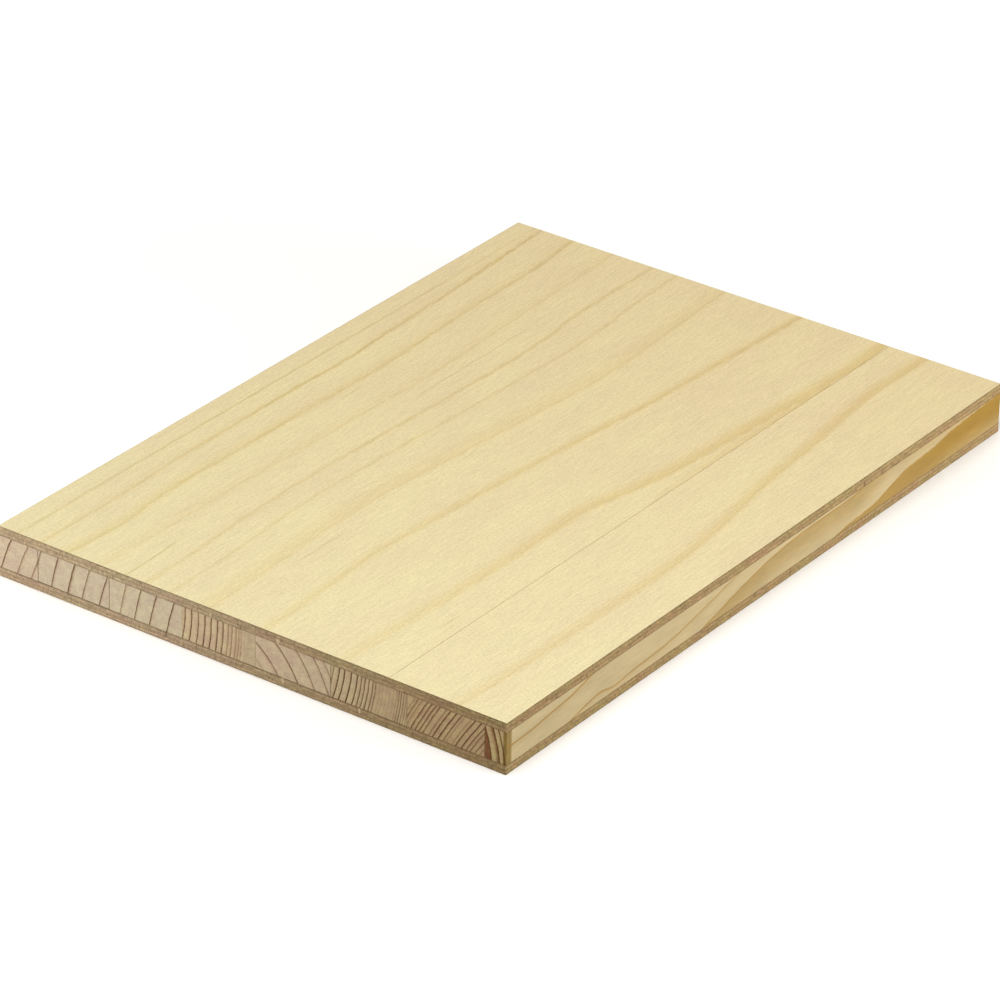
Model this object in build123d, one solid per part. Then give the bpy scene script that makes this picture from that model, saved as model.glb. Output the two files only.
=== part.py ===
from build123d import *
import os

# Blockboard lying flat: a core of sawn softwood strips between crossbands and face veneers.
# Sizes are in millimetres. X runs across the strips, Y along them and Z up through the layers.
# The origin is the centre of the underside.

# Driving dimensions
board_length = 297.0
board_width = 210.0
core_thickness = 12.0
crossband_thickness = 1.8
veneer_thickness = 1.7
right_leaf_width = 46.7     # the top face is two leaves, and this is the one on the right edge
strip_width = 30.7          # a full strip of the core
first_strip_width = 17.2    # what the saw left of the strip on the left edge
narrowest_strip = 3.0       # an offcut narrower than this stays on the strip before it

# Edges of the board and undersides of the layers, from the floor up
left_edge = -board_width / 2
right_edge = board_width / 2
front_end = -board_length / 2
splice = right_edge - right_leaf_width
bottom_veneer_level = 0.0
bottom_crossband_level = bottom_veneer_level + veneer_thickness
core_level = bottom_crossband_level + crossband_thickness
top_crossband_level = core_level + core_thickness
top_veneer_level = top_crossband_level + crossband_thickness


def ply(left, right, level, thickness):
    """A sheet of veneer as long as the board, between two edges, resting at the given level."""
    outline = Pos((left + right) / 2, 0, level) * Rectangle(right - left, board_length)
    return extrude(outline, amount=thickness, dir=(0, 0, 1))


def core_joints():
    """Where the strips meet across the core, with the two sawn edges of the board at the ends."""
    joints = [left_edge]
    joint = left_edge + first_strip_width
    while joint < right_edge - narrowest_strip:
        joints.append(joint)
        joint += strip_width
    joints.append(right_edge)
    return joints


def core_strip(left, right):
    """One sawn strip: its end section on the front of the board, run back along the grain."""
    middle = ((left + right) / 2, front_end, core_level + core_thickness / 2)
    end_face = Plane(origin=middle, x_dir=(1, 0, 0), z_dir=(0, -1, 0))
    section = end_face * Rectangle(right - left, core_thickness)
    return extrude(section, amount=board_length, dir=(0, 1, 0))


pieces = {
    "bottom_face_veneer": ply(left_edge, right_edge, bottom_veneer_level, veneer_thickness),
    "bottom_crossband": ply(left_edge, right_edge, bottom_crossband_level, crossband_thickness),
    "top_crossband": ply(left_edge, right_edge, top_crossband_level, crossband_thickness),
    "top_face_veneer_left": ply(left_edge, splice, top_veneer_level, veneer_thickness),
    "top_face_veneer_right": ply(splice, right_edge, top_veneer_level, veneer_thickness),
}

# The strips are numbered from the left edge and share their side faces
joints = core_joints()
for number, (left, right) in enumerate(zip(joints, joints[1:]), start=1):
    pieces[f"core_strip_{number}"] = core_strip(left, right)

os.makedirs("parts", exist_ok=True)
for name, piece in pieces.items():
    export_step(piece, f"parts/{name}.step")
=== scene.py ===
import bpy
import math
import numpy as np
from mathutils import Matrix, Vector


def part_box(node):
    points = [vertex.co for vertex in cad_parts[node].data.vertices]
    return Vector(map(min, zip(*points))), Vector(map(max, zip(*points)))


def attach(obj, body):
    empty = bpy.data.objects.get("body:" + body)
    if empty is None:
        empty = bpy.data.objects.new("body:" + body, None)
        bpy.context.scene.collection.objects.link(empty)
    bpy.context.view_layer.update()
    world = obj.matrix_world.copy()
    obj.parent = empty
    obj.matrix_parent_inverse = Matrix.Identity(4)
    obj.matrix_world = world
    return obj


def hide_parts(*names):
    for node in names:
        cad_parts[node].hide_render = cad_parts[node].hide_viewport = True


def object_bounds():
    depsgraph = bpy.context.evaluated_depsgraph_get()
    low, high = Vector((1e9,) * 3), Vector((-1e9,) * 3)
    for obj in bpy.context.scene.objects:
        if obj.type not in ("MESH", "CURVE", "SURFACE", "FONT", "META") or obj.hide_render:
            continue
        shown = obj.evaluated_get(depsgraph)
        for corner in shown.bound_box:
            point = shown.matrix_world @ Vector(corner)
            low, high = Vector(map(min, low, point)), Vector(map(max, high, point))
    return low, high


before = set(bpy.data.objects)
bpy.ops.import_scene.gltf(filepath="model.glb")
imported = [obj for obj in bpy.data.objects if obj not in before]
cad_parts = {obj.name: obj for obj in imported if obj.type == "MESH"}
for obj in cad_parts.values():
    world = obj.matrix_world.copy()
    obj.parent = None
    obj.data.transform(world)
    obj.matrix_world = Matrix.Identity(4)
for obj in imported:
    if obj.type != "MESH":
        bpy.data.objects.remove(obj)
cadLow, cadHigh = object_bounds()
mm = 0.001
facing = 0.7   # a face looks to a side when its normal has more than this share of that direction
print("frame loaded:", len(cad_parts), "nodes")


def linear(hexCode):  # an sRGB hex colour as the linear one that shaders take
    shares = [int(hexCode[i:i + 2], 16) / 255 for i in (1, 3, 5)]
    return [s / 12.92 if s <= 0.04045 else ((s + 0.055) / 1.055) ** 2.4 for s in shares] + [1.0]


# makes a node, puts in its settings, values and links, and gives its outputs
def add(tree, kind, inputs=None, **settings):
    made = tree.nodes.new(kind)
    for name, value in settings.items():
        setattr(made, name, value)
    for name, value in (inputs or {}).items():
        if isinstance(value, bpy.types.NodeSocket):
            tree.links.new(value, made.inputs[name])
        else:
            made.inputs[name].default_value = value
    return made.outputs


# Growth rings: a piece carries where its ring lines run, and the pine materials draw them from that

ringLook = {
    "line": 0.6,     # how dark a ring's thin outer line is
    "late": 0.3,     # how strong the latewood inside that line is
    "fade": 1.5,     # mm over which the latewood fades inwards
    "red": 0.0,      # how far the latewood turns from golden to red
}
ringShape = {
    "stretch": (1.0, 0.3, 1.0),   # a line wobbles in longer waves along the board
    "core": 0.08,                 # mm from a line's middle to where it starts to fade
    "most": 0.4,                  # the most that a line takes of its ring's width
    "solid": 0.1,                 # the share of its fade over which latewood keeps its strength
}


def ringField(place, lines):
    # place, in mm, grows as the tree did, and lines run from the oldest ring to the youngest
    spots = [np.broadcast_to(line["at"], place.shape) for line in lines]
    looks = []
    for line in lines:
        values = [np.broadcast_to(line.get(name, usual), place.shape) for name, usual in ringLook.items()]
        looks.append(np.stack(values, axis=1))
    phase = np.zeros(place.shape)
    width = np.zeros(place.shape)
    look, before = looks[0], looks[0]
    for i in range(len(lines) - 1):
        gap = spots[i + 1] - spots[i]
        inside = place >= spots[i]
        phase += np.clip((place - spots[i]) / gap, 0, 1)
        width = np.where(inside, gap, width)
        look = np.where(inside[:, None], looks[i + 1], look)
        before = np.where(inside[:, None], looks[i], before)
    rings = np.stack([phase, width, look[:, 0], before[:, 0]], axis=1)
    return rings, np.stack([look[:, 1], look[:, 2], look[:, 3], before[:, 1]], axis=1)


def lineAt(points, along, smooth):  # a grain line's place at each distance along it, its corners smoothed
    spots, places = np.array(points, float).T
    shifts = np.linspace(-smooth, smooth, 9)
    return np.mean([np.interp(along + shift, spots, places) for shift in shifts], axis=0)


def drawnLine(line, along, smooth, sign):  # a listed line: a pair of values runs from front end to back
    span = (0.0, (cadHigh.y - cadLow.y) / mm)
    look = {"at": sign * lineAt(line["points"], along, smooth)}
    for name, value in line.items():
        if name != "points":
            look[name] = np.interp(along, span, value) if isinstance(value, tuple) else value
    return look


def keepLayer(mesh, name, values, kind="FLOAT_VECTOR"):  # one value for each face corner
    layer = mesh.attributes.new(name, kind, "CORNER")
    layer.data.foreach_set("color" if kind == "FLOAT_COLOR" else "vector",
                           np.ascontiguousarray(values, np.float32).ravel())


def fromCorner(points):  # in mm from the left edge, from the front end and below the top face
    across = (points[:, 0] - cadLow.x) / mm
    along = (points[:, 1] - cadLow.y) / mm
    below = (cadHigh.z - points[:, 2]) / mm
    return across, along, below


def meshPoints(mesh):
    points = np.zeros(len(mesh.vertices) * 3, np.float32)
    mesh.vertices.foreach_get("co", points)
    return points.reshape(-1, 3).astype(float)


def cornerVertices(mesh):
    found = np.zeros(len(mesh.loops), np.int32)
    mesh.loops.foreach_get("vertex_index", found)
    return found


def cornerNormals(mesh):
    normals = np.zeros(len(mesh.polygons) * 3, np.float32)
    mesh.polygons.foreach_get("normal", normals)
    sides = np.zeros(len(mesh.polygons), np.int32)
    mesh.polygons.foreach_get("loop_total", sides)
    return np.repeat(normals.reshape(-1, 3), sides, axis=0)


def makeRingGroup():  # thin line and latewood at a point, from the piece's own ring layers
    tree = bpy.data.node_groups.new("growth rings", "ShaderNodeTree")
    for name in ("Line Width", "Wobble", "Wobble Size", "Outer Fade", "Sharpness"):
        tree.interface.new_socket(name, in_out="INPUT", socket_type="NodeSocketFloat")
    for name in ("Line", "Late", "Red"):
        tree.interface.new_socket(name, in_out="OUTPUT", socket_type="NodeSocketFloat")
    given = add(tree, "NodeGroupInput")
    rings = add(tree, "ShaderNodeAttribute", attribute_name="rings")
    late = add(tree, "ShaderNodeAttribute", attribute_name="late")
    ring = add(tree, "ShaderNodeSeparateXYZ", {0: rings["Vector"]})
    band = add(tree, "ShaderNodeSeparateXYZ", {0: late["Vector"]})
    where = add(tree, "ShaderNodeTexCoord")["Object"]
    perMetre = add(tree, "ShaderNodeMath", {0: 1 / mm, 1: given["Wobble Size"]}, operation="DIVIDE")[0]
    drawn = add(tree, "ShaderNodeVectorMath", {0: where, 1: ringShape["stretch"]}, operation="MULTIPLY")[0]
    noise = add(tree, "ShaderNodeTexNoise", {"Vector": drawn, "Scale": perMetre, "Detail": 3.0})[0]
    centred = add(tree, "ShaderNodeMath", {0: noise, 1: 0.5}, operation="SUBTRACT")[0]
    shift = add(tree, "ShaderNodeMath", {0: centred, 1: given["Wobble"]}, operation="MULTIPLY")[0]
    share = add(tree, "ShaderNodeMath", {0: shift, 1: ring["Y"]}, operation="DIVIDE")[0]
    phase = add(tree, "ShaderNodeMath", {0: ring["X"], 1: share}, operation="ADD")[0]
    passed = add(tree, "ShaderNodeMath", {0: phase}, operation="FRACT")[0]
    behind = add(tree, "ShaderNodeMath", {0: passed, 1: ring["Y"]}, operation="MULTIPLY")[0]
    ahead = add(tree, "ShaderNodeMath", {0: ring["Y"], 1: behind}, operation="SUBTRACT")[0]
    # the line is sharp on its outer side and softer on its inner side, and thinner in a narrow ring
    narrow = add(tree, "ShaderNodeMath", {0: ring["Y"], 1: ringShape["most"]}, operation="MULTIPLY")[0]
    reach = add(tree, "ShaderNodeMath", {0: narrow, 1: given["Line Width"]}, operation="MINIMUM")[0]
    sharp = add(tree, "ShaderNodeMath", {0: behind, 1: given["Sharpness"]}, operation="MULTIPLY")[0]
    solid = add(tree, "ShaderNodeMath", {0: band["Y"], 1: ringShape["solid"]}, operation="MULTIPLY")[0]
    parts = []
    for away, start, stop, strength in (
            (ahead, ringShape["core"], reach, ring["Z"]), (sharp, ringShape["core"], reach, rings["Alpha"]),
            (ahead, solid, band["Y"], band["X"]), (behind, 0.0, given["Outer Fade"], late["Alpha"])):
        fall = add(tree, "ShaderNodeMapRange",
                   {"Value": away, "From Min": start, "From Max": stop, "To Min": 1.0, "To Max": 0.0},
                   interpolation_type="SMOOTHSTEP")[0]
        parts.append(add(tree, "ShaderNodeMath", {0: fall, 1: strength}, operation="MULTIPLY")[0])
    line = add(tree, "ShaderNodeMath", {0: parts[0], 1: parts[1]}, operation="MAXIMUM")[0]
    gold = add(tree, "ShaderNodeMath", {0: parts[2], 1: parts[3]}, operation="MAXIMUM")[0]
    add(tree, "NodeGroupOutput", {"Line": line, "Late": gold, "Red": band["Z"]})
    return tree


ringGroup = makeRingGroup()


# Materials. In each, "patterns" are noises by their mm across, along and down, and their detail;
# "base" and "shares" are the brightness and what each pattern adds to it; "hue" is a pattern, its share
# and the middle value; and "bump" is a pattern, its strength and its depth in mm

def startMaterial(name, spec):
    material = bpy.data.materials.new(name)
    material.use_nodes = True
    tree = material.node_tree
    shader = tree.nodes["Principled BSDF"]
    shader.inputs["IOR"].default_value = 1.5  # bare wood, near the usual value for cellulose and lignin
    shader.inputs["Roughness"].default_value = spec["roughness"]
    shader.inputs["Specular IOR Level"].default_value = spec["gloss"]  # open cells swallow most sheen
    where = add(tree, "ShaderNodeTexCoord")["Object"]
    noise = {}
    for pattern, (*size, detail) in spec["patterns"].items():
        spot = add(tree, "ShaderNodeMapping", {"Vector": where, "Scale": [1 / mm / s for s in size]})[0]
        noise[pattern] = add(tree, "ShaderNodeTexNoise",
                             {"Vector": spot, "Scale": 1.0, "Detail": detail})[0]
    return material, where, noise


def finishMaterial(material, spec, noise, colour):
    tree = material.node_tree
    shader = tree.nodes["Principled BSDF"]
    look = {"Color": colour, "Value": spec["base"]}
    for pattern, share in spec["shares"].items():
        look["Value"] = add(tree, "ShaderNodeMath", {0: noise[pattern], 1: share, 2: look["Value"]},
                            operation="MULTIPLY_ADD")[0]
    if "hue" in spec:
        pattern, share, middle = spec["hue"]
        look["Hue"] = add(tree, "ShaderNodeMath", {0: noise[pattern], 1: share, 2: middle},
                          operation="MULTIPLY_ADD")[0]
    shaded = add(tree, "ShaderNodeHueSaturation", look)[0]
    tree.links.new(shaded, shader.inputs["Base Color"])
    pattern, strength, depth = spec["bump"]
    bump = add(tree, "ShaderNodeBump",
               {"Strength": strength, "Distance": depth * mm, "Height": noise[pattern]})[0]
    tree.links.new(bump, shader.inputs["Normal"])
    return material


# Sliced pine veneer, sanded: pale cream, soft golden ring lines, short fine fibres along the board, and painted
# sheen towards the front end
sandedPine = {
    "roughness": 0.62, "gloss": 0.5,
    "near": "#D2C395",               # the pale wood at the front end, and at the back; the front one is lighter and whiter, a painted sheen
    "far": "#CEB986",
    "golden": "#F3E9C9",             # what latewood leaves of the pale wood
    "line": "#DFCF9A",
    # in mm, but for the sharpness: how much quicker a line fades on its outer side
    "rings": {"Line Width": 1.2, "Wobble": 2.0, "Wobble Size": 1.5, "Outer Fade": 2.4, "Sharpness": 1.2},
    "cloudy": (0.3, 0.7),            # the lines come and go from one cloud value to the other
    "comes": (0.55, 1.1),            # and between these strengths
    "patterns": {                    # the fibres are coarser than real tracheids, so that they show
        "fibre": (0.35, 7.0, 2.0, 2.0), "cloud": (16.0, 50.0, 10.0, 2.0), "speckle": (0.9, 0.9, 0.9, 2.0),
    },
    "base": 0.57, "shares": {"cloud": 0.10, "fibre": 0.36, "speckle": 0.40},
    "hue": ("cloud", 0.02, 0.49), "bump": ("fibre", 0.2, 0.08),
    "glue": ("#A07E42", 0.32),       # the glue line between two leaves, and its strength
    "glueWidth": (0.1, 0.4),         # mm from its middle to where it starts to fade, and to where it ends
    "check": "#BAB659",              # what a check leaves of the wood under it
    "checkWidth": (0.1, 0.5),        # mm, as the glue's
    "checkTaper": 6.0,               # mm over which a check's ends run out
    "checkSway": (60.0, 1.6),        # how a check bends: bends to the metre, and mm from side to side
    # fine dark checks: mm from the left edge, mm from the front end to start and stop, depth, and lean if any
    "checks": [(8.4, 4.0, 245.0, 0.13), (54.0, 160.0, 230.0, 0.26), (54.9, -8.0, 32.0, 0.45, -0.035),
               (34.5, 142.0, 158.0, 0.3), (93.8, 42.0, 68.0, 0.28), (94.0, 130.0, 144.0, 0.22),
               (157.4, 32.0, 50.0, 0.27), (158.2, 122.0, 132.0, 0.16), (159.6, 30.0, 44.0, 0.2)],
}
checkInputs = ("Across", "Start", "Stop", "Depth", "Lean")


def makeCheckGroup():  # a hair-thin split along the grain, from one place along the board to another
    tree = bpy.data.node_groups.new("grain check", "ShaderNodeTree")
    for name in checkInputs:
        tree.interface.new_socket(name, in_out="INPUT", socket_type="NodeSocketFloat")
    tree.interface.new_socket("Dark", in_out="OUTPUT", socket_type="NodeSocketFloat")
    bends, sway = sandedPine["checkSway"]
    full, gone = sandedPine["checkWidth"]
    given = add(tree, "NodeGroupInput")
    where = add(tree, "ShaderNodeTexCoord")["Object"]
    fromLeft = add(tree, "ShaderNodeVectorMath", {0: where, 1: cadLow}, operation="SUBTRACT")[0]
    inMm = add(tree, "ShaderNodeVectorMath", {0: fromLeft, "Scale": 1 / mm}, operation="SCALE")[0]
    spot = add(tree, "ShaderNodeSeparateXYZ", {0: inMm})
    bend = add(tree, "ShaderNodeTexNoise", {"Vector": where, "Scale": bends, "Detail": 2.0})[0]
    bent = add(tree, "ShaderNodeMath", {0: bend, 1: sway, 2: spot["X"]}, operation="MULTIPLY_ADD")[0]
    middle = add(tree, "ShaderNodeMath", {0: given["Lean"], 1: spot["Y"], 2: given["Across"]},
                 operation="MULTIPLY_ADD")[0]
    off = add(tree, "ShaderNodeMath", {0: bent, 1: middle}, operation="SUBTRACT")[0]
    off = add(tree, "ShaderNodeMath", {0: off, 1: sway / 2}, operation="SUBTRACT")[0]
    off = add(tree, "ShaderNodeMath", {0: off}, operation="ABSOLUTE")[0]
    thin = add(tree, "ShaderNodeMapRange",
               {"Value": off, "From Min": full, "From Max": gone, "To Min": 1.0, "To Max": 0.0})[0]
    after = add(tree, "ShaderNodeMath", {0: spot["Y"], 1: given["Start"]}, operation="SUBTRACT")[0]
    before = add(tree, "ShaderNodeMath", {0: given["Stop"], 1: spot["Y"]}, operation="SUBTRACT")[0]
    inside = add(tree, "ShaderNodeMath", {0: after, 1: before}, operation="MINIMUM")[0]
    ends = add(tree, "ShaderNodeMapRange",
               {"Value": inside, "From Min": 0.0, "From Max": sandedPine["checkTaper"]})[0]
    dark = add(tree, "ShaderNodeMath", {0: thin, 1: ends}, operation="MULTIPLY")[0]
    dark = add(tree, "ShaderNodeMath", {0: dark, 1: given["Depth"]}, operation="MULTIPLY")[0]
    add(tree, "NodeGroupOutput", {"Dark": dark})
    return tree


def makeSandedPine():
    spec = sandedPine
    material, where, noise = startMaterial("sanded pine veneer", spec)
    tree = material.node_tree
    rings = add(tree, "ShaderNodeGroup", spec["rings"], node_tree=ringGroup)
    (thin, thick), (weak, strong) = spec["cloudy"], spec["comes"]
    comes = add(tree, "ShaderNodeMapRange", {"Value": noise["cloud"], "From Min": thin, "From Max": thick,
                "To Min": weak, "To Max": strong})[0]
    line = add(tree, "ShaderNodeMath", {0: rings["Line"], 1: comes}, operation="MULTIPLY")[0]
    spotY = add(tree, "ShaderNodeSeparateXYZ", {0: where})["Y"]
    # painted sheen: the face's colour runs from the lighter, whiter front tone to the back tone
    drift = add(tree, "ShaderNodeMapRange",
                {"Value": spotY, "From Min": cadLow.y, "From Max": cadHigh.y})[0]
    colour = add(tree, "ShaderNodeMix", {0: drift, 6: linear(spec["near"]), 7: linear(spec["far"])},
                 data_type="RGBA")[2]
    darkening = [(rings["Late"], spec["golden"]), (line, spec["line"])]
    checkGroup = makeCheckGroup()
    for check in spec["checks"]:
        split = add(tree, "ShaderNodeGroup", dict(zip(checkInputs, check)), node_tree=checkGroup)
        darkening.append((split["Dark"], spec["check"]))
    for strength, tint in darkening:
        colour = add(tree, "ShaderNodeMix", {0: strength, 6: colour, 7: linear(tint)},
                     data_type="RGBA", blend_type="MULTIPLY")[2]
    glueTint, glueStrength = spec["glue"]
    full, gone = spec["glueWidth"]
    edge = add(tree, "ShaderNodeAttribute", attribute_name="edge")["Vector"]
    away = add(tree, "ShaderNodeSeparateXYZ", {0: edge})["Z"]
    glue = add(tree, "ShaderNodeMapRange", {"Value": away, "From Min": full, "From Max": gone,
               "To Min": glueStrength, "To Max": 0.0}, interpolation_type="SMOOTHSTEP")[0]
    glue = add(tree, "ShaderNodeMath", {0: glue, 1: comes}, operation="MULTIPLY")[0]
    colour = add(tree, "ShaderNodeMix", {0: glue, 6: colour, 7: linear(glueTint)}, data_type="RGBA")[2]
    return finishMaterial(material, spec, noise, colour)


# Pine sawn across the grain: matt and darker than its long sides, with thin brown ring lines and fine pores
sawnEnd = {
    "roughness": 0.8, "gloss": 0.15,
    "late": "#D3B791",        # what latewood leaves of the strip's own tone
    "red": "#AD866B",
    "line": "#45260A",
    "rings": {"Line Width": 0.52, "Wobble": 0.45, "Wobble Size": 2.0, "Outer Fade": 0.25, "Sharpness": 2.0},
    "patterns": {"patch": (2.4, 9.0, 2.4, 3.0), "pore": (0.45, 0.45, 0.45, 2.0)},  # coarser than real cells
    "base": 0.48, "shares": {"patch": 0.34, "pore": 0.70},
    "hue": ("patch", 0.07, 0.465), "bump": ("pore", 0.3, 0.1),
}


def makeSawnEnd():
    spec = sawnEnd
    material, _, noise = startMaterial("pine end grain, sawn", spec)
    tree = material.node_tree
    tone = add(tree, "ShaderNodeAttribute", attribute_name="tone")["Color"]
    rings = add(tree, "ShaderNodeGroup", spec["rings"], node_tree=ringGroup)
    lateTone = add(tree, "ShaderNodeMix", {0: rings["Red"], 6: linear(spec["late"]), 7: linear(spec["red"])},
                   data_type="RGBA")[2]
    late = add(tree, "ShaderNodeMix", {0: rings["Late"], 6: tone, 7: lateTone},
               data_type="RGBA", blend_type="MULTIPLY")[2]
    lined = add(tree, "ShaderNodeMix", {0: rings["Line"], 6: late, 7: linear(spec["line"])},
                data_type="RGBA")[2]
    return finishMaterial(material, spec, noise, lined)


# Pine sawn along the grain: tan, with amber ring lines and golden latewood drawn out along the board
sawnSide = {
    "roughness": 0.72, "gloss": 0.2,
    "golden": "#795C1A",
    "line": "#7E5C20",
    "rings": {"Line Width": 0.8, "Wobble": 0.5, "Wobble Size": 2.2, "Outer Fade": 0.6, "Sharpness": 1.6},
    "patterns": {"fibre": (0.6, 9.0, 0.4, 3.0), "patch": (6.0, 18.0, 4.0, 3.0)},  # coarser than real fibres
    "base": 0.62, "shares": {"patch": 0.34, "fibre": 0.42}, "bump": ("fibre", 0.25, 0.1),
}


def makeSawnSide():
    spec = sawnSide
    material, _, noise = startMaterial("pine long grain, sawn", spec)
    tree = material.node_tree
    colour = add(tree, "ShaderNodeAttribute", attribute_name="tone")["Color"]
    rings = add(tree, "ShaderNodeGroup", spec["rings"], node_tree=ringGroup)
    for strength, tint in ((rings["Late"], spec["golden"]), (rings["Line"], spec["line"])):
        colour = add(tree, "ShaderNodeMix", {0: strength, 6: colour, 7: linear(tint)}, data_type="RGBA")[2]
    return finishMaterial(material, spec, noise, colour)


# Veneer edges under the saw: brown and matt, blotched and scratched, with a dark glue line next to the core;
# painted shade darkens them to the right
veneerEdge = {
    # left and right: the painted shade runs from the left tint to the darker, warmer right one
    "pine veneer edge, sawn": {
        # outer: painted shade along the face veneer's outer side, under the top arris and at the bottom edge
        "left": "#857359", "right": "#7B6743", "dark": "#44351D", "outer": 0.45, "inner": 0.25,
    },
    "peeled crossband edge, sawn": {
        # outer: the glue line between the crossband and the face veneer
        "left": "#85735A", "right": "#7E6845", "dark": "#403019", "outer": 0.3, "inner": 0.65,
    },
}
edgeFinish = {
    "roughness": 0.8, "gloss": 0.15,
    "pale": "#C9B98F",               # splinters
    "turn": 0.3,                     # how far from the middle to the left edge the painted shade towards the right starts
    "outer": (0.55, 0.95),           # heights in the ply where the outer dark line starts and is full: glue on a crossband, painted shade on a face veneer
    "inner": (0.35, 0.05),
    "blotchy": (0.35, 0.65),         # the glue lines break up from one blotch value to the other
    "breaks": (0.3, 1.0),            # and between these strengths
    "patterns": {                    # streaks run along the ply, and the saw's scratches up it
        "streak": (6.0, 6.0, 0.3, 3.0), "tooth": (0.5, 0.5, 2.5, 3.0),
        "blotch": (1.3, 1.3, 0.6, 3.0), "patch": (9.0, 9.0, 5.0, 3.0),
    },
    "base": -0.80, "shares": {"streak": 1.10, "tooth": 1.00, "blotch": 1.50},
    "hue": ("patch", -0.06, 0.529), "bump": ("tooth", 0.35, 0.1),
}


def makeVeneerEdge(name):
    spec = edgeFinish
    tints = veneerEdge[name]
    material, where, noise = startMaterial(name, spec)
    tree = material.node_tree
    edge = add(tree, "ShaderNodeAttribute", attribute_name="edge")["Vector"]
    rim = add(tree, "ShaderNodeSeparateXYZ", {0: edge})  # height in the ply, and splinter or check
    # painted shade: the edge's colour runs from grey-brown on the left to a darker, warmer brown on the right,
    # where less light falls
    spotX = add(tree, "ShaderNodeSeparateXYZ", {0: where})["X"]
    drift = add(tree, "ShaderNodeMapRange",
                {"Value": spotX, "From Min": cadLow.x * spec["turn"], "From Max": cadHigh.x})[0]
    colour = add(tree, "ShaderNodeMix", {0: drift, 6: linear(tints["left"]), 7: linear(tints["right"])},
                 data_type="RGBA")[2]
    (thin, thick), (weak, strong) = spec["blotchy"], spec["breaks"]
    broken = add(tree, "ShaderNodeMapRange", {"Value": noise["blotch"], "From Min": thin, "From Max": thick,
                 "To Min": weak, "To Max": strong})[0]
    sides = []
    for side in ("outer", "inner"):
        start, full = spec[side]
        sides.append(add(tree, "ShaderNodeMapRange", {"Value": rim["X"], "From Min": start, "From Max": full,
                         "To Min": 0.0, "To Max": tints[side]}, interpolation_type="SMOOTHSTEP")[0])
    # the dark lines at either side of the ply: glue, and painted shade on the face veneers' outer side
    both = add(tree, "ShaderNodeMath", {0: sides[0], 1: sides[1]}, operation="ADD")[0]
    glueAndShade = add(tree, "ShaderNodeMath", {0: both, 1: broken}, operation="MULTIPLY")[0]
    marks = [(glueAndShade, tints["dark"])]
    for sign, tint in ((-1.0, tints["dark"]), (1.0, spec["pale"])):
        mark = add(tree, "ShaderNodeMath", {0: rim["Y"], 1: sign}, operation="MULTIPLY", use_clamp=True)[0]
        marks.append((mark, tint))
    for strength, tint in marks:
        colour = add(tree, "ShaderNodeMix", {0: strength, 6: colour, 7: linear(tint)}, data_type="RGBA")[2]
    return finishMaterial(material, spec, noise, colour)


facePine = makeSandedPine()
endPine = makeSawnEnd()
sidePine = makeSawnSide()
veneerRim, crossbandRim = (makeVeneerEdge(name) for name in veneerEdge)
print("materials made")


# Core strips: one node tree makes a sawn strip, and each strip then gets its own rings

stripFinish = {
    "endCell": 0.3,          # mm between points on the strips' ends
    "sawDepth": 0.05,        # mm, the deepest score
    "scores": 900.0,         # saw scores to the metre
    "relief": 0.12,          # mm that the softer wood lies behind the ring lines
    "reliefReach": 0.4,      # mm from a ring line over which the wood falls back
    "sideTone": "#958561",
    "glue": "#8F6E40",       # what glue in a joint leaves of the tone
    "glueWidth": 0.15,       # mm of it on each strip
    "midCore": 9.5,          # mm below the top face
    "smooth": 3.5,           # mm over which the figure's corners are smoothed
    "margin": 14.0,          # mm from the listed rings to one more on either side
    "lastLine": 0.4,         # how dark the younger one of these is
}


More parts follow.
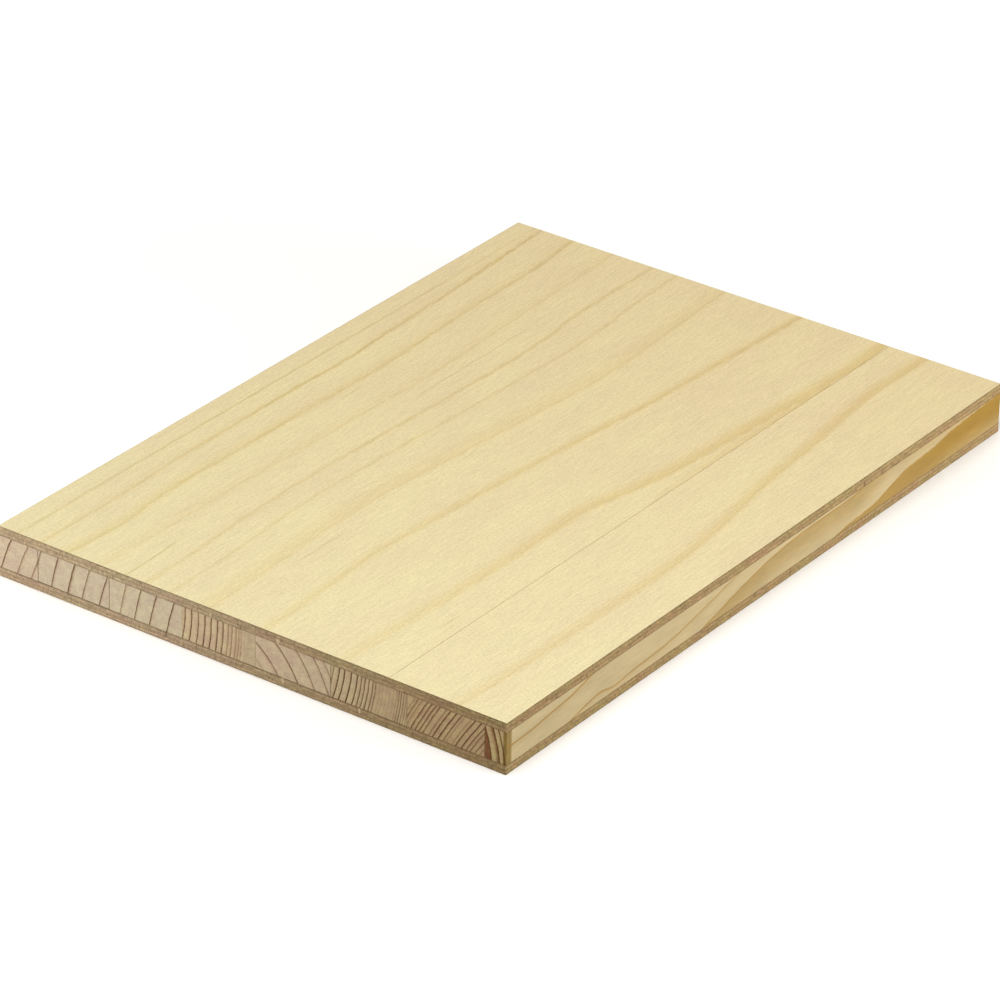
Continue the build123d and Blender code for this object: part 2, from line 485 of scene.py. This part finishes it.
def makeStripTree():
    tree = bpy.data.node_groups.new("sawn strip", "GeometryNodeTree")
    tree.interface.new_socket("Geometry", in_out="OUTPUT", socket_type="NodeSocketGeometry")
    names = {
        "Low": "NodeSocketVector", "High": "NodeSocketVector",
        "Cells Across": "NodeSocketInt", "Cells Along": "NodeSocketInt", "Cells Up": "NodeSocketInt",
        "Arris": "NodeSocketFloat", "Saw Depth": "NodeSocketFloat", "Seed": "NodeSocketFloat",
        "End Grain": "NodeSocketMaterial", "Long Grain": "NodeSocketMaterial",
    }
    ids = {}
    for name, kind in names.items():
        ids[name] = tree.interface.new_socket(name, in_out="INPUT", socket_type=kind).identifier
    given = add(tree, "NodeGroupInput")
    size = add(tree, "ShaderNodeVectorMath", {0: given["High"], 1: given["Low"]}, operation="SUBTRACT")[0]
    total = add(tree, "ShaderNodeVectorMath", {0: given["High"], 1: given["Low"]}, operation="ADD")[0]
    centre = add(tree, "ShaderNodeVectorMath", {0: total, "Scale": 0.5}, operation="SCALE")[0]
    counts = [add(tree, "ShaderNodeMath", {0: given[name], 1: 1.0}, operation="ADD")[0]
              for name in ("Cells Across", "Cells Along", "Cells Up")]
    block = add(tree, "GeometryNodeMeshCube", {"Size": size, "Vertices X": counts[0],
                "Vertices Y": counts[1], "Vertices Z": counts[2]})["Mesh"]
    # eased arrises: the block's skin is pulled onto a rounded box
    spot = add(tree, "GeometryNodeInputPosition")[0]
    ease = add(tree, "ShaderNodeCombineXYZ", {0: given["Arris"], 1: given["Arris"], 2: given["Arris"]})[0]
    half = add(tree, "ShaderNodeVectorMath", {0: size, "Scale": 0.5}, operation="SCALE")[0]
    inner = add(tree, "ShaderNodeVectorMath", {0: half, 1: ease}, operation="SUBTRACT")[0]
    outer = add(tree, "ShaderNodeVectorMath", {0: inner, "Scale": -1.0}, operation="SCALE")[0]
    under = add(tree, "ShaderNodeVectorMath", {0: spot, 1: inner}, operation="MINIMUM")[0]
    within = add(tree, "ShaderNodeVectorMath", {0: under, 1: outer}, operation="MAXIMUM")[0]
    beyond = add(tree, "ShaderNodeVectorMath", {0: spot, 1: within}, operation="SUBTRACT")[0]
    aim = add(tree, "ShaderNodeVectorMath", {0: beyond}, operation="NORMALIZE")[0]
    reach = add(tree, "ShaderNodeVectorMath", {0: aim, "Scale": given["Arris"]}, operation="SCALE")[0]
    eased = add(tree, "ShaderNodeVectorMath", {0: within, 1: reach}, operation="ADD")[0]
    # the saw leaves shallow scores, all cut inwards
    score = add(tree, "ShaderNodeTexNoise",
                {"Vector": spot, "W": given["Seed"], "Scale": stripFinish["scores"], "Detail": 1.0},
                noise_dimensions="4D")[0]
    depth = add(tree, "ShaderNodeMath", {0: score, 1: given["Saw Depth"]}, operation="MULTIPLY")[0]
    normal = add(tree, "GeometryNodeInputNormal")[0]
    cut = add(tree, "ShaderNodeVectorMath", {0: normal, "Scale": depth}, operation="SCALE")[0]
    scored = add(tree, "ShaderNodeVectorMath", {0: eased, 1: cut}, operation="SUBTRACT")[0]
    placed = add(tree, "ShaderNodeVectorMath", {0: scored, 1: centre}, operation="ADD")[0]
    strip = add(tree, "GeometryNodeSetPosition", {"Geometry": block, "Position": placed})[0]
    real = add(tree, "GeometryNodeRealizeInstances", {"Geometry": strip})[0]
    sided = add(tree, "GeometryNodeSetMaterial", {"Geometry": real, "Material": given["Long Grain"]})[0]
    lengthwise = add(tree, "ShaderNodeSeparateXYZ", {0: normal})["Y"]
    turned = add(tree, "ShaderNodeMath", {0: lengthwise}, operation="ABSOLUTE")[0]
    isEnd = add(tree, "FunctionNodeCompare", {0: turned, 1: facing}, operation="GREATER_THAN")[0]
    ended = add(tree, "GeometryNodeSetMaterial",
                {"Geometry": sided, "Selection": isEnd, "Material": given["End Grain"]})[0]
    add(tree, "NodeGroupOutput", {"Geometry": ended})
    return tree, ids


stripTree, stripInputs = makeStripTree()

usualStrip = {"arris": 0.1, "alongCell": 8.0, "late": 0.35, "fade": 1.4, "glue": (0.0, 0.0)}
plain = {"late": 0.3, "fade": 3.0}   # a ring with next to no latewood
# pith: across and below in mm. drift: mm that the pith moves across for each mm along.
# alongCell: mm between points along the strip. glue: how dark the joints on the left and right are.
# rings: mm across at half the core's depth, oldest first, with their strength and what else is theirs.
# stain: mm across from and to, and what it leaves of the tone.
strips = {
    "core_strip_1": {
        "tone": "#978771", "pith": (120.0, 54.0), "drift": 0.012, "alongCell": 1.2,
        "rings": [(16.4, 0.6), (10.3, 0.5), (3.2, 1.0), (-3.5, 0.6)], "glue": (0.0, 0.6),
    },
    "core_strip_2": {
        "tone": "#968872", "arris": 0.22, "pith": (148.0, 41.0), "drift": -0.008,
        "rings": [(45.05, 0.9), (37.65, 0.55), (31.35, 1.0, {"late": 0.6, "red": 0.6}), (24.25, 0.9),
                  (16.9, 0.7)],
        "glue": (0.6, 0.45),
    },
    "core_strip_3": {
        "tone": "#988B73", "pith": (180.0, 38.5), "drift": 0.01,
        "rings": [(81.0, 0.6), (73.5, 1.0), (66.15, 0.85), (59.75, 0.85), (53.55, 0.45)], "glue": (0.5, 0.0),
    },
    "core_strip_4": {
        "tone": "#99876B", "pith": (35.0, 4.5), "drift": 0.006,
        "rings": [(75.5, 0.6), (79.9, 0.8), (82.6, 0.95), (85.5, 0.55), (88.2, 0.9), (90.8, 0.85),
                  (93.45, 0.9), (95.75, 0.8), (97.9, 0.4), (99.4, 0.4), (101.2, 0.4), (102.3, 0.35),
                  (103.4, 0.3)],
        "stain": (103.9, 109.4, "#F3F3F3"),
    },
    "core_strip_5": {
        "tone": "#9A886F", "pith": (91.0, 33.4), "drift": -0.01,
        "rings": [(106.0, 0.05), (113.75, 0.6), (123.1, 0.85), (130.5, 0.45), (136.7, 0.6), (140.4, 0.35)],
        "glue": (0.0, 0.6),
    },
    "core_strip_6": {
        "tone": "#988769", "arris": 0.18, "pith": (95.0, -1.5), "drift": 0.008,
        "rings": [(137.0, 0.5), (140.3, 0.5), (142.65, 0.95), (144.9, 0.95), (147.6, 1.0), (150.1, 0.95),
                  (151.8, 0.7), (153.3, 0.65), (154.9, 0.75), (156.5, 0.7), (157.6, 0.6),
                  (159.2, 0.06, plain), (160.5, 0.04, plain), (161.9, 0.06, plain), (163.4, 0.04, plain),
                  (164.9, 0.06, plain), (166.1, 0.2, plain), (167.0, 0.7, plain), (167.9, 0.7, plain),
                  (169.0, 0.45, plain), (169.9, 0.4, plain), (170.8, 0.3, plain), (171.8, 0.2, plain)],
        "glue": (0.5, 0.0),
    },
    "core_strip_7": {
        "tone": "#937D5C", "pith": (297.0, 76.0), "drift": 0.012,
        "rings": [(203.2, 0.5), (201.5, 0.75), (199.4, 0.65), (197.9, 0.75), (195.9, 0.95), (193.5, 1.0),
                  (192.0, 0.25), (189.6, 0.2), (188.4, 0.8), (186.4, 1.0), (184.1, 1.0), (182.6, 0.4),
                  (180.1, 0.8), (178.6, 0.8), (177.0, 0.8), (175.3, 1.0), (173.3, 0.25), (171.8, 0.7),
                  (170.6, 0.4)], "late": 0.2,
    },
    "core_strip_8": {
        "tone": "#94805A", "pith": (162.5, 19.8), "drift": 0.022, "alongCell": 0.8,
        "rings": [(197.0, 0.5), (203.25, 0.8, {"late": 1.0, "fade": 9.0, "red": 1.0}),
                  (206.5, 0.95, {"late": 1.0, "fade": 2.0, "red": 0.9}),
                  (208.55, 0.9, {"late": 0.4, "fade": 0.8}), (212.0, 0.5, {"late": 0.6, "fade": 1.5})],
    },
}

# the figure on the two sawn edges, oldest line first: mm from the front end and mm below the top face
edgeFigures = {
    "right": [
        {"points": [(0, 120), (310, 60)]},
        {"points": [(0, 70), (150, 26), (194, 15), (203, 14.1), (215, 13.6), (228, 10.1), (235, 8.2),
                    (254, 7.1), (264, 5.3), (284, 4), (310, 3)],
         "line": 0.5, "late": (0.0, 1.1), "fade": 22.0},
        {"points": [(0, 45), (60, 30), (110, 15.5), (134, 9.6), (148, 6.8), (158, 5.6), (168, 4.8),
                    (203, 4.4), (215, 1.5), (228, -3.5), (250, -2.5), (310, -2.5)],
         "line": 0.6, "late": 0.55, "fade": 12.0},
        {"points": [(0, 22), (35, 15.4), (46, 13), (52, 12), (59, 14), (68, 12.7), (87, 11.7), (99, 10.3),
                    (119, 6.1), (129, 4), (150, -0.5), (310, -24)],
         "line": (0.85, 0.0), "late": 0.15, "fade": 3.5},
        {"points": [(0, 8.9), (13, 8.7), (19, 7.8), (36, 6), (43, 4.3), (50, 2.6), (70, -2), (310, -36)],
         "line": 0.82, "late": 0.15, "fade": 3.5},
        {"points": [(0, -8), (310, -60)], "line": 0.5, "late": 0.3, "fade": 1.2},
    ],
    "left": [  # not seen in the photo
        {"points": [(0, 60), (310, 90)]},
        {"points": [(0, 5.5), (40, 6.5), (90, 8.8), (120, 9.6), (160, 12.6), (200, 16), (310, 40)],
         "line": 0.6, "late": 0.5, "fade": 3.0},
        {"points": [(0, -14), (110, 1), (150, 4.2), (190, 5.6), (230, 8.8), (260, 9.6), (297, 12)],
         "line": 0.5, "late": 0.6, "fade": 4.0},
        {"points": [(0, -40), (250, 0), (297, 4.5)], "line": 0.6, "late": 0.4, "fade": 2.0},
        {"points": [(0, -90), (310, -30)]},
    ],
}
# olive latewood round the front right corner: what it leaves of the tone, and its reach in mm
cornerStain = {"tint": "#BEB07E", "along": 2.5, "across": 208.8}


def stripPlace(points, strip):  # mm from the strip's pith, which drifts sideways along the board
    across, along, below = fromCorner(points)
    return np.hypot(across - strip["pith"][0] - strip["drift"] * along, below - strip["pith"][1])


def stripLines(strip):
    lines = []
    for across, strength, *look in strip["rings"]:
        radius = math.hypot(across - strip["pith"][0], stripFinish["midCore"] - strip["pith"][1])
        lines.append({"at": radius, "line": strength, "late": strip["late"], "fade": strip["fade"],
                      **(look[0] if look else {})})
    lines.sort(key=lambda line: line["at"])
    first, last = lines[0], lines[-1]
    return [{**first, "at": first["at"] - stripFinish["margin"]}, *lines,
            {**last, "at": last["at"] + stripFinish["margin"], "line": stripFinish["lastLine"]}]


def makeStrip(node, strip):
    low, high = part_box(node)
    span = (high - low) / mm
    piece = bpy.data.objects.new(node.replace("core", "sawn"), bpy.data.meshes.new(node))
    bpy.context.scene.collection.objects.link(piece)
    modifier = piece.modifiers.new("sawn strip", "NODES")
    modifier.node_group = stripTree
    values = {
        "Low": low, "High": high,
        "Cells Across": round(span.x / stripFinish["endCell"]),
        "Cells Along": round(span.y / strip["alongCell"]),
        "Cells Up": round(span.z / stripFinish["endCell"]),
        "Arris": strip["arris"] * mm, "Saw Depth": stripFinish["sawDepth"] * mm, "Seed": float(node[-1]),
        "End Grain": endPine, "Long Grain": sidePine,
    }
    for name, value in values.items():
        modifier[stripInputs[name]] = value
    mesh = bpy.data.meshes.new_from_object(piece.evaluated_get(bpy.context.evaluated_depsgraph_get()))
    piece.modifiers.remove(modifier)
    piece.data = mesh
    lines = stripLines(strip)
    points = meshPoints(mesh)
    corners = cornerVertices(mesh)
    normals = cornerNormals(mesh)
    across, along, below = fromCorner(points[corners])
    rings, late = ringField(stripPlace(points[corners], strip), lines)
    onEnd = np.abs(normals[:, 1]) > facing
    tone = np.where(onEnd[:, None], linear(strip["tone"]), linear(stripFinish["sideTone"]))
    glue = np.array(linear(stripFinish["glue"]))
    for side, strength in zip((low.x, high.x), strip["glue"]):
        inJoint = onEnd & (np.abs(points[corners, 0] - side) < stripFinish["glueWidth"] * mm)
        tone = np.where(inJoint[:, None], tone * (1 - strength + strength * glue), tone)
    if "stain" in strip:
        start, stop, tint = strip["stain"]
        tone = np.where((onEnd & (across > start) & (across < stop))[:, None], tone * linear(tint), tone)
    outward = {"left": (low.x < cadLow.x + mm, -1.0), "right": (high.x > cadHigh.x - mm, 1.0)}
    for side, (sawn, sign) in outward.items():  # the two strips that the board's edges were sawn through
        if sawn:
            onEdge = normals[:, 0:1] * sign > facing
            figure = [drawnLine(line, along, stripFinish["smooth"], -1.0) for line in edgeFigures[side]]
            edgeRings, edgeLate = ringField(-below, figure)
            rings = np.where(onEdge, edgeRings, rings)
            late = np.where(onEdge, edgeLate, late)
    if outward["right"][0]:
        nearEnd = (normals[:, 0] > facing) & (along < cornerStain["along"])
        nearEdge = onEnd & (across > cornerStain["across"])
        tone = np.where((nearEnd | nearEdge)[:, None], tone * linear(cornerStain["tint"]), tone)
    for name, layer in (("rings", rings), ("late", late), ("tone", tone)):
        keepLayer(mesh, name, layer, "FLOAT_COLOR")
    # the soft wood between the ring lines is a little lower on the sawn ends
    field, _ = ringField(stripPlace(points, strip), lines)
    ahead = (1 - field[:, 0] % 1) * field[:, 1]
    sunk = stripFinish["relief"] * mm * (1 - np.exp(-ahead / stripFinish["reliefReach"]))
    front = points[:, 1] < low.y + strip["arris"] * mm
    back = points[:, 1] > high.y - strip["arris"] * mm
    points[:, 1] += np.where(front, sunk, 0) - np.where(back, sunk, 0)
    mesh.vertices.foreach_set("co", points.astype(np.float32).ravel())
    mesh.update()
    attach(piece, "root")
    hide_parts(node)


for node, strip in strips.items():
    makeStrip(node, {**usualStrip, **strip})
print("core strips sawn:", len(strips))


# Plies: a sheet with eased arrises and sawn walls, and a fine grid on the face that shows

sheetFinish = {
    "knee": 0.3,        # the share of an arris's drop and inset at the level between its ends
    "chatter": 0.5,     # the share of the saw's depth that differs from level to level
    "touch": 0.01,      # mm within which a wall lies on the board's own edge
    "smooth": 9.0,      # mm over which a ring line's corners are smoothed
    "noSplice": 1.0,    # metres, well off the board
}


def makeSheet(name, node, spec, seed):
    low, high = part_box(node)
    thick = high.z - low.z
    random = np.random.default_rng(seed)
    xs = np.linspace(low.x, high.x, round((high.x - low.x) / mm / spec["cellAcross"]) + 1)
    ys = np.linspace(low.y, high.y, round((high.y - low.y) / mm / spec["cellAlong"]) + 1)
    wide, long = len(xs) - 1, len(ys) - 1
    rim = np.concatenate([
        np.stack([xs[:-1], np.full(wide, low.y)], 1), np.stack([np.full(long, high.x), ys[:-1]], 1),
        np.stack([xs[:0:-1], np.full(wide, high.y)], 1), np.stack([np.full(long, low.x), ys[:0:-1]], 1),
    ])
    ease = spec["arris"]
    scores = random.random(len(rim)) * spec["saw"]  # mm that the saw's teeth cut in, the same up the wall

    def inset(flat, share):  # the outline, drawn in by a share of each side's arris
        least = [low.x + ease["left"] * share * mm, low.y + ease["front"] * share * mm]
        most = [high.x - ease["right"] * share * mm, high.y - ease["back"] * share * mm]
        return np.clip(flat, least, most)

    # wall levels from the shown face down, as heights in the ply with how far each is drawn in
    knee = sheetFinish["knee"]
    drop = ease["front"] * mm / thick
    glueDrop = ease["glue"] * mm / thick
    sawn = np.linspace(1 - drop, glueDrop, spec["levels"])[1:-1]
    heights = [1.0, 1 - knee * drop, 1 - drop, *sawn, glueDrop, 0.0]
    shares = [1.0, knee] + [0.0] * (len(heights) - 3) + [ease["glue"] / ease["front"]]
    touch = sheetFinish["touch"] * mm
    inward = np.sign(np.array([(low.x + high.x) / 2, (low.y + high.y) / 2]) - rim)
    onEdges = np.abs(rim) > np.array([cadHigh.x, cadHigh.y]) - touch  # the board's own edges, not the splice
    loops = []
    for height, share in zip(heights, shares):
        wall = inset(rim, share)
        if share == 0:
            jitter = scores + random.random(len(rim)) * spec["saw"] * sheetFinish["chatter"]
            wall = wall + inward * onEdges * jitter[:, None] * mm
        loops.append(np.concatenate([wall, np.full((len(rim), 1), low.z + height * thick)], 1))
    points = [np.concatenate(loops)]
    faces = []
    count = len(rim)
    step = np.arange(count)
    for level in range(len(loops) - 1):
        upper = level * count + step
        lower = upper + count
        faces += np.stack([lower, np.roll(lower, -1), np.roll(upper, -1), upper], 1).tolist()
    walls = len(faces)
    faces.append(((len(loops) - 1) * count + step)[::-1].tolist())
    if spec.get("lines"):  # the shown face is a grid inside the first loop
        columns, rows = np.meshgrid(np.arange(wide + 1), np.arange(long + 1))
        number = np.full((long + 1, wide + 1), -1)
        number[0, :-1] = step[:wide]
        number[:-1, -1] = step[wide:wide + long]
        number[-1, :0:-1] = step[wide + long:2 * wide + long]
        number[:0:-1, 0] = step[2 * wide + long:]
        inside = number < 0
        number[inside] = len(points[0]) + np.arange(inside.sum())
        flat = np.stack([xs[columns[inside]], ys[rows[inside]]], 1)
        points.append(np.concatenate([flat, np.full((len(flat), 1), high.z)], 1))
        cells = [number[:-1, :-1], number[:-1, 1:], number[1:, 1:], number[1:, :-1]]
        faces += np.stack(cells, 2).reshape(-1, 4).tolist()
    else:
        faces.append(step.tolist())
    points = np.concatenate(points)
    if spec.get("faceDown"):
        points[:, 2] = low.z + high.z - points[:, 2]
        faces = [face[::-1] for face in faces]
    mesh = bpy.data.meshes.new(name)
    mesh.from_pydata(points.tolist(), [], faces)
    mesh.materials.append(spec["rim"])
    mesh.materials.append(spec.get("face") or spec["rim"])
    indices = np.zeros(len(faces), np.int32)
    indices[walls + 1:] = 1
    mesh.polygons.foreach_set("material_index", indices)
    mesh.update()
    corners = cornerVertices(mesh)
    normals = cornerNormals(mesh)
    across, along, _ = fromCorner(points[corners])
    # the edge layer: height in the ply towards the board's outside, splinter or check, and mm to the splice
    height = (points[corners, 2] - low.z) / thick
    if spec.get("faceDown"):
        height = 1 - height
    mark = np.zeros(len(corners))
    for side, spot, width, strength in spec.get("marks", []):
        onSide = normals[:, 1] < -facing if side == "front" else normals[:, 0] > facing
        near = np.abs((across if side == "front" else along) - spot) < width
        mark = np.where(onSide & near, strength, mark)
    away = np.abs(points[corners, 0] - spec.get("splice", sheetFinish["noSplice"])) / mm
    keepLayer(mesh, "edge", np.stack([height, mark, away], 1))
    if spec.get("lines"):
        lines = [drawnLine(line, along, sheetFinish["smooth"], 1.0) for line in spec["lines"]]
        for layer, values in zip(("rings", "late"), ringField(across, lines)):
            keepLayer(mesh, layer, values, "FLOAT_COLOR")
    piece = bpy.data.objects.new(name, mesh)
    bpy.context.scene.collection.objects.link(piece)
    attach(piece, "root")
    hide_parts(node)
    print(name, len(mesh.polygons), "faces")


# cells, the saw's depth and the arrises are in mm, and "glue" is the arris on the glued side
# lines: the face's ring lines, as mm from the front end and mm across, growing from left to right
leftLeaf = {
    "cellAcross": 0.8, "cellAlong": 1.1, "levels": 5, "saw": 0.04,
    "arris": {"left": 0.25, "right": 0.03, "front": 0.25, "back": 0.25, "glue": 0.05},
    "face": facePine, "rim": veneerRim, "slot": "face_veneer", "splice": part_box("top_face_veneer_right")[0].x,
    "lines": [
        {"points": [(0, -14), (297, -14)]},
        {"points": [(0, 9.0), (130, 8.4), (297, 8.0)], "line": (0.19, 0.16), "late": 0.05},
        {"points": [(0, 19), (37, 18.8), (87, 17.2), (145, 17.1), (169, 18), (201, 16), (229, 15),
                    (297, 10.8)], "line": (0.28, 1.0), "late": 0.2, "fade": 4.5},
        {"points": [(0, 30.4), (27, 32), (57, 29), (117, 30), (169, 31), (237, 28), (273, 27.6), (297, 24.6)],
         "line": (0.28, 0.6), "late": (0.44, 0.28), "fade": 5.5},
        {"points": [(0, 44.6), (77, 45.6), (157, 47.4), (185, 48.2), (217, 46.4), (297, 43)],
         "line": 0.05, "late": 0.19, "fade": 6.0},
        {"points": [(0, 63.6), (27, 63.2), (47, 61.4), (97, 60.6), (153, 62.6), (201, 64), (229, 63.6),
                    (249, 61), (297, 61)], "line": (0.36, 0.62), "late": 0.2, "fade": 2.5},
        {"points": [(0, 74), (37, 73), (67, 71), (87, 70.4), (127, 72), (185, 74.4), (217, 75.6), (245, 75),
                    (267, 72.4), (297, 71.5)], "line": (0.2, 0.36), "late": 0.12, "fade": 2.5},
        {"points": [(0, 90.6), (67, 87.6), (97, 87.4), (137, 91), (185, 94.8), (207, 96.6), (233, 96.6),
                    (297, 92.6)], "line": 0.1, "late": 0.34, "fade": 9.0},
        {"points": [(0, 113.6), (37, 112), (61, 110.2), (107, 112.8), (153, 116.2), (209, 121.2),
                    (297, 125.6)], "line": (0.06, 0.4), "late": (0.34, 0.72), "fade": 4.0},
        {"points": [(0, 145.8), (67, 148.2), (97, 148.6), (131, 148), (145, 151.4), (165, 155.4),
                    (217, 159.6), (263, 162.8), (275, 163.6), (297, 162.4)],
         "line": (0.06, 0.2), "late": (0.32, 1.05), "fade": (5.8, 7.5)},
        {"points": [(0, 190), (120, 190), (150, 170), (200, 168), (297, 166)],
         "line": 0.0, "late": (0.0, 1.4), "fade": 12.0},
    ],
}
rightLeaf = {
    **leftLeaf, "arris": {"left": 0.03, "right": 0.25, "front": 0.25, "back": 0.25, "glue": 0.05},
    "lines": [
        {"points": [(0, 150), (297, 150)]},
        {"points": [(0, 191.3), (31, 192.8), (97, 193.6), (125, 193.2), (147, 191), (185, 185.4),
                    (217, 183.2), (241, 180.3), (261, 178.3), (297, 179)],
         "line": (0.02, 0.1), "late": (0.32, 0.88), "fade": 5.6},
        {"points": [(0, 232), (297, 232)]},
    ],
}
underLeaf = {
    **leftLeaf, "cellAcross": 1.0, "cellAlong": 1.5, "faceDown": True, "splice": sheetFinish["noSplice"],
    "arris": {"left": 0.2, "right": 0.2, "front": 0.2, "back": 0.2, "glue": 0.05},
    "lines": [
        {"points": [(0, -14), (297, -14)]},
        {"points": [(0, 20), (120, 24), (297, 19)], "line": 0.3, "late": 0.2},
        {"points": [(0, 47), (90, 43), (200, 46), (297, 50)], "line": 0.2, "late": 0.4, "fade": 5.0},
        {"points": [(0, 69), (150, 72), (297, 66)], "line": 0.3, "late": 0.2},
        {"points": [(0, 90), (110, 96), (210, 92), (297, 94)], "line": 0.1, "late": 0.4, "fade": 6.0},
        {"points": [(0, 126), (80, 121), (190, 128), (297, 133)], "line": 0.15, "late": 0.6, "fade": 5.0},
        {"points": [(0, 158), (140, 163), (297, 155)], "line": 0.2, "late": 0.4, "fade": 5.0},
        {"points": [(0, 184), (100, 180), (297, 187)], "line": 0.3, "late": 0.2},
        {"points": [(0, 226), (297, 226)]},
    ],
}
# marks on the sawn edges: side, mm along it, mm to either side, and strength, pale above 0 and dark below
upperBand = {
    "cellAcross": 0.6, "cellAlong": 0.8, "levels": 5, "saw": 0.05, "rim": crossbandRim,
    "arris": {"left": 0.06, "right": 0.06, "front": 0.06, "back": 0.06, "glue": 0.06}, "slot": "crossband",
    "marks": [("front", 90.5, 0.35, 0.4), ("front", 118.5, 0.35, 0.4), ("right", 208.0, 0.5, -0.9),
              ("right", 162.0, 0.5, -0.5), ("right", 124.4, 0.4, -0.4), ("right", 219.7, 0.4, -0.35)],
}
lowerBand = {
    **upperBand, "faceDown": True,
    "marks": [("front", 72.0, 0.4, -0.8), ("front", 120.5, 0.35, 0.4), ("front", 152.0, 0.35, 0.4),
              ("right", 122.3, 0.4, -0.35), ("right", 141.9, 0.4, -0.45), ("right", 163.6, 0.4, -0.4)],
}
makeSheet("face_leaf_left", "top_face_veneer_left", leftLeaf, 11)
makeSheet("face_leaf_right", "top_face_veneer_right", rightLeaf, 12)
makeSheet("crossband_upper", "top_crossband", upperBand, 13)
makeSheet("crossband_lower", "bottom_crossband", lowerBand, 14)
makeSheet("face_leaf_under", "bottom_face_veneer", underLeaf, 15)
print("plies laid")


# Stage: a pale floor, soft studio light and the camera

stage = {"floor": "#F6F5F2", "roughness": 0.9, "span": 8.0, "sky": "#FFFFFF", "skyStrength": 0.42}


def makeStage():
    half = stage["span"] / 2
    mesh = bpy.data.meshes.new("floor")
    corners = [(-half, -half, 0), (half, -half, 0), (half, half, 0), (-half, half, 0)]
    mesh.from_pydata(corners, [], [(0, 1, 2, 3)])
    floor = bpy.data.objects.new("floor", mesh)
    bpy.context.scene.collection.objects.link(floor)
    material = bpy.data.materials.new("matt studio floor")
    material.use_nodes = True
    shader = material.node_tree.nodes["Principled BSDF"]
    shader.inputs["Base Color"].default_value = linear(stage["floor"])
    shader.inputs["Roughness"].default_value = stage["roughness"]
    mesh.materials.append(material)
    world = bpy.data.worlds.new("studio")
    world.use_nodes = True
    sky = world.node_tree.nodes["Background"]
    sky.inputs["Color"].default_value = linear(stage["sky"])
    sky.inputs["Strength"].default_value = stage["skyStrength"]
    bpy.context.scene.world = world


lamps = {  # place and aim in metres, watts, and the softbox's width and height in metres
    "overhead": {"place": (0.2, -0.4, 0.75), "aim": (0.2, -0.4, 0.0), "watts": 5.9, "box": (0.7, 0.7)},
    "front left": {"place": (-0.14, -0.38, 0.03), "aim": (-0.14, 0.0, 0.03), "watts": 0.6,
                   "box": (0.12, 0.04)},
    "right": {"place": (0.75, 0.3, 0.09), "aim": (0.0, 0.3, 0.03), "watts": 7.4, "box": (0.6, 0.14)},
    "left": {"place": (-0.85, 0.1, 0.1), "aim": (0.0, 0.1, 0.03), "watts": 4.6, "box": (0.6, 0.2)},
    "back": {"place": (-0.3, 0.95, 0.45), "aim": (-0.1, 0.6, 0.0), "watts": 3.6, "box": (0.8, 0.4)},
}


def makeLamp(name):
    spec = lamps[name]
    lamp = bpy.data.lights.new(name, "AREA")
    lamp.shape = "RECTANGLE"
    lamp.size, lamp.size_y = spec["box"]
    lamp.energy = spec["watts"]
    holder = bpy.data.objects.new(name, lamp)
    holder.location = spec["place"]
    holder.rotation_euler = (Vector(spec["aim"]) - Vector(spec["place"])).to_track_quat("-Z", "Y").to_euler()
    bpy.context.scene.collection.objects.link(holder)


# the camera stands off the board's near top corner
# angles in degrees, lens and sensor in mm, the rest in metres
view = {"azimuth": 35.34, "elevation": 28.53, "roll": 1.36, "lens": 206.96, "sensor": 36.0, "distance": 1.812,
        "slide": -0.0022, "rise": 0.0706, "clip": (0.05, 50.0)}


def makeCamera():
    azimuth, elevation, roll = (math.radians(view[k]) for k in ("azimuth", "elevation", "roll"))
    back = Vector((math.sin(azimuth) * math.cos(elevation), -math.cos(azimuth) * math.cos(elevation),
                   math.sin(elevation)))
    level = Vector((0, 0, 1)).cross(back).normalized()
    upright = back.cross(level)
    right = level * math.cos(roll) + upright * math.sin(roll)
    up = upright * math.cos(roll) - level * math.sin(roll)
    nearCorner = Vector((cadHigh.x, cadLow.y, cadHigh.z))
    lens = bpy.data.cameras.new("camera")
    lens.lens = view["lens"]
    lens.sensor_width = view["sensor"]
    lens.clip_start, lens.clip_end = view["clip"]
    camera = bpy.data.objects.new("camera", lens)
    turn = Matrix((right, up, back)).transposed().to_4x4()
    place = nearCorner + back * view["distance"] + right * view["slide"] + up * view["rise"]
    camera.matrix_world = Matrix.Translation(place) @ turn
    bpy.context.scene.collection.objects.link(camera)
    bpy.context.scene.camera = camera


makeStage()
for name in lamps:
    makeLamp(name)
makeCamera()
bpy.context.scene.view_settings.view_transform = "Standard"
print("stage, lamps and camera set")
